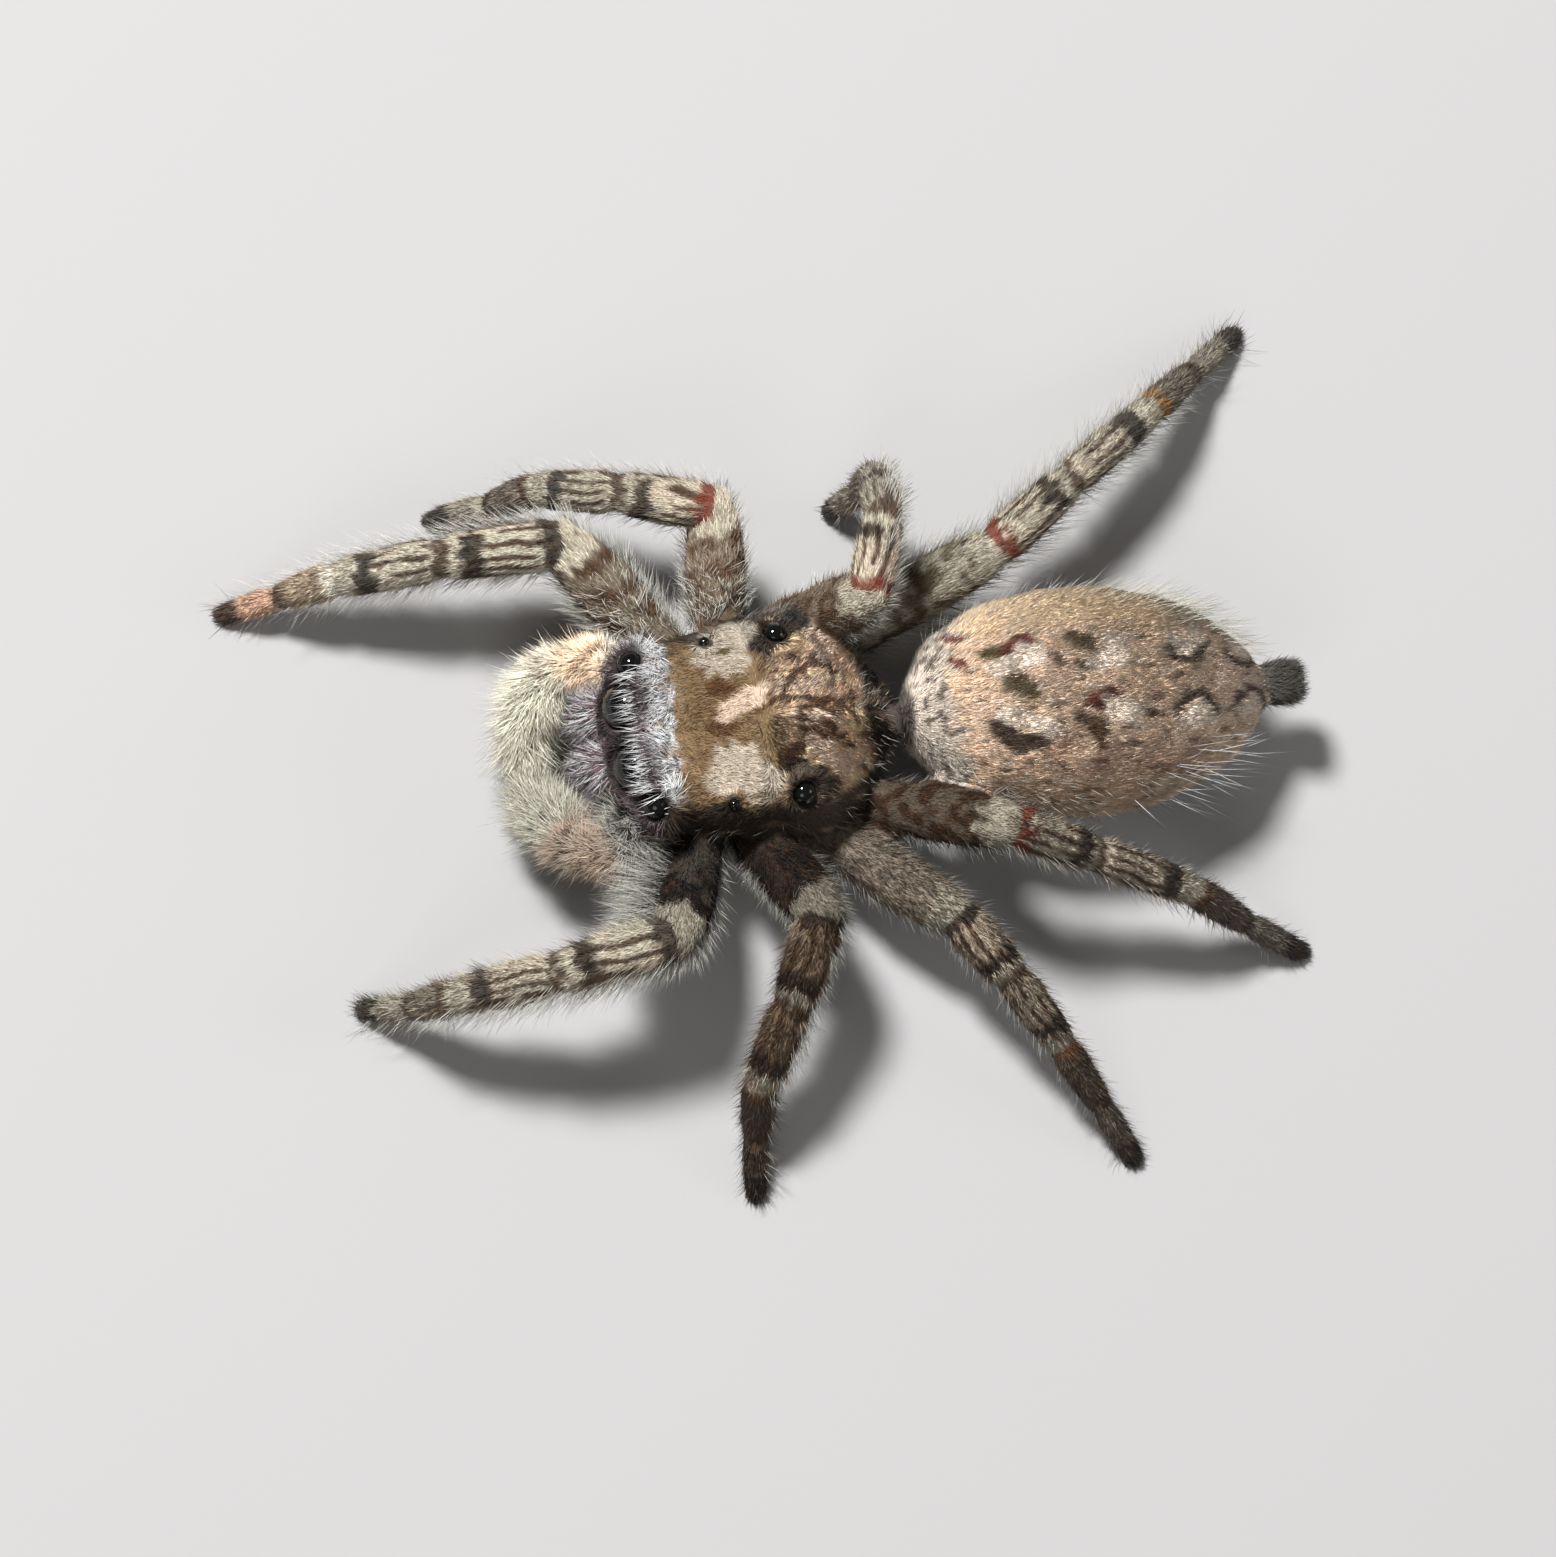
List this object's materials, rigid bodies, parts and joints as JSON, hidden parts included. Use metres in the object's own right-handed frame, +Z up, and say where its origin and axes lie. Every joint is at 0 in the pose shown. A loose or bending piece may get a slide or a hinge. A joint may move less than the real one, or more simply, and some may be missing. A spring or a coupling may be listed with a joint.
{
  "type": "jumping spider",
  "caption": "Life-size still model of a mottled tan and grey jumping spider with banded legs and bushy pale palps, standing with its legs spread.",
  "frame": {"origin": "on the floor under the middle of the spider's box, with all eight feet on z = 0", "axes": "+Y towards the abdomen's rear, so the head looks along -Y; +X is the spider's own left; +Z up"},
  "size_m": [0.0132, 0.0168, 0.0039],
  "materials": {
    "carapace": "short lying hair, ochre-brown with cream patches and a bluish-white brow",
    "abdomen": "short lying hair, mottled tan with a cream front band and paired pale spots",
    "legs": "short hair in cream, dark and red-brown bands, with pale fringes",
    "palps": "bushy yellowish-white hair",
    "underside": "dull brown with thin hair",
    "chelicerae": "smooth, half glossy, purplish brown",
    "fangs": "glossy, nearly black",
    "eyes": "wet black gloss",
    "spinnerets": "dull dark grey with thin hair"
  },
  "bodies": {
    "root": {"carapace": "carapace", "eye_main_left": "eyes", "eye_main_right": "eyes", "eye_front_side_left": "eyes", "eye_front_side_right": "eyes", "eye_small_left": "eyes", "eye_small_right": "eyes", "eye_rear_left": "eyes", "eye_rear_right": "eyes", "sternum": "underside", "mouthparts": "underside", "abdomen": "abdomen", "spinnerets": "spinnerets", "chelicera_left": "chelicerae", "fang_left": "fangs", "palp_left": "palps", "femur_left_1": "legs", "patella_left_1": "legs", "tibia_left_1": "legs", "metatarsus_left_1": "legs", "tarsus_left_1": "legs", "femur_left_2": "legs", "patella_left_2": "legs", "tibia_left_2": "legs", "metatarsus_left_2": "legs", "tarsus_left_2": "legs", "femur_left_3": "legs", "patella_left_3": "legs", "tibia_left_3": "legs", "metatarsus_left_3": "legs", "tarsus_left_3": "legs", "femur_left_4": "legs", "patella_left_4": "legs", "tibia_left_4": "legs", "metatarsus_left_4": "legs", "tarsus_left_4": "legs", "chelicera_right": "chelicerae", "fang_right": "fangs", "palp_right": "palps", "femur_right_1": "legs", "patella_right_1": "legs", "tibia_right_1": "legs", "metatarsus_right_1": "legs", "tarsus_right_1": "legs", "femur_right_2": "legs", "patella_right_2": "legs", "tibia_right_2": "legs", "metatarsus_right_2": "legs", "tarsus_right_2": "legs", "femur_right_3": "legs", "patella_right_3": "legs", "tibia_right_3": "legs", "metatarsus_right_3": "legs", "tarsus_right_3": "legs", "femur_right_4": "legs", "patella_right_4": "legs", "tibia_right_4": "legs", "metatarsus_right_4": "legs", "tarsus_right_4": "legs"}
  },
  "joints": []
}
